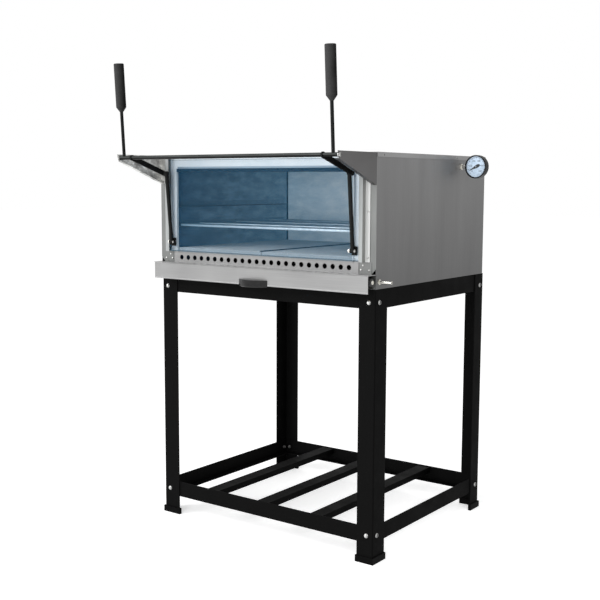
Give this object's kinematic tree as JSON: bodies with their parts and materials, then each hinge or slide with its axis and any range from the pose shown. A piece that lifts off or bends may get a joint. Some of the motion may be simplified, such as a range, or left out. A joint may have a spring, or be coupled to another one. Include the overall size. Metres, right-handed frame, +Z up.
{
  "type": "gas pizza oven on a stand",
  "caption": "Gas pizza oven on an open angle-iron stand: glass door lifted by two weighted arms and a cross shaft, crumb drawer, side thermometer, gas valve and hose tail.",
  "frame": {"origin": "outer front corner of the front left foot cap, on the floor", "axes": "+X to the oven's right, +Y from the door to the back, +Z up"},
  "size_m": [0.9336, 0.9063, 1.4753],
  "materials": {
    "stand": "black powder coat",
    "foot_cap": "moulded black plastic",
    "bolts": "bright zinc plate",
    "casing": "brushed stainless sheet",
    "front": "brushed stainless sheet",
    "liner": "aluminised sheet",
    "bearer": "heat-darkened mild steel",
    "stone": "fired clay",
    "rack": "nickel-plated wire",
    "burner": "heat-darkened steel tube",
    "brass": "turned brass and copper tube",
    "inlet": "nickel plate",
    "knob": "moulded black plastic",
    "dial_case": "black enamel",
    "dial_face": "white enamel with plain black numbers",
    "pointer": "black enamel",
    "lens": "clear",
    "door_glass": "clear tempered glass",
    "gear": "black powder coat",
    "handle": "moulded black plastic",
    "hood": "brushed stainless sheet"
  },
  "bodies": {
    "oven": {"leg_fl": "stand", "leg_fr": "stand", "leg_rl": "stand", "leg_rr": "stand", "feet": "foot_cap", "rail_top_front": "stand", "rail_top_rear": "stand", "rail_top_left": "stand", "rail_top_right": "stand", "rail_low_front": "stand", "rail_low_rear": "stand", "rail_low_left": "stand", "rail_low_right": "stand", "slats": "stand", "fasteners": "bolts", "side_panel_left": "casing", "side_panel_right": "casing", "top_cover": "casing", "back_panel": "casing", "base_pan": "casing", "front_frame": "front", "burner_strip": "front", "corner_plates": "front", "guide_left": "front", "guide_right": "front", "cheek_left": "hood", "cheek_right": "hood", "liner_left": "liner", "liner_right": "liner", "liner_back": "liner", "liner_top": "liner", "stone_bearers": "bearer", "stones": "stone", "rack_runners": "liner", "wire_rack": "rack", "burner": "burner", "gas_pipe": "brass", "gas_valve": "brass", "gas_inlet": "inlet", "dial_stem": "inlet", "dial_case": "dial_case", "dial_plate": "dial_face", "dial_lens": "lens", "drawer_runners": "liner"},
    "door": {"door_glass": "door_glass", "door_brackets": "gear", "link_pins": "bolts"},
    "lifter": {"shaft": "gear", "cranks": "gear", "arm_rods": "gear", "weights": "gear", "pivot_bolts": "bolts"},
    "link_left": {"link_left": "gear"},
    "link_right": {"link_right": "gear"},
    "drawer": {"crumb_tray": "liner", "tray_walls": "liner", "drawer_front": "front", "drawer_handle": "handle"},
    "knob": {"valve_knob": "knob"},
    "pointer": {"dial_pointer": "pointer"}
  },
  "joints": [
    {"name": "shaft_turn", "type": "hinge", "parent": "oven", "child": "lifter", "pos_m": [0.4195, -0.1835, 1.188], "axis": [1, 0, 0], "range_deg": [0, 85]},
    {"name": "door_slide", "type": "slide", "parent": "oven", "child": "door", "axis": [0, 0, 1], "range_m": [0, 0.21053]},
    {"name": "link_left_tilt", "type": "hinge", "parent": "door", "child": "link_left", "pos_m": [0.0675, -0.0202, 0.92044], "axis": [1, 0, 0], "range_deg": [0, 22.72]},
    {"name": "link_right_tilt", "type": "hinge", "parent": "door", "child": "link_right", "pos_m": [0.7715, -0.0202, 0.92044], "axis": [1, 0, 0], "range_deg": [0, 22.72]},
    {"name": "drawer_slide", "type": "slide", "parent": "oven", "child": "drawer", "axis": [0, -1, 0], "range_m": [0, 0.35]},
    {"name": "valve_turn", "type": "hinge", "parent": "oven", "child": "knob", "pos_m": [0.8278, -0.0115, 0.833], "axis": [1, 0, 0], "range_deg": [0, 90]},
    {"name": "pointer_turn", "type": "hinge", "parent": "oven", "child": "pointer", "pos_m": [0.8945, 0.4958, 1.165], "axis": [0, 1, 0], "range_deg": [-18, 252]}
  ],
  "couplings": [
    {"joint": "door_slide", "follows": "shaft_turn", "m_per_rad": 0.1419},
    {"joint": "link_left_tilt", "follows": "shaft_turn", "ratio": 0.26704},
    {"joint": "link_right_tilt", "follows": "shaft_turn", "ratio": 0.26704}
  ]
}
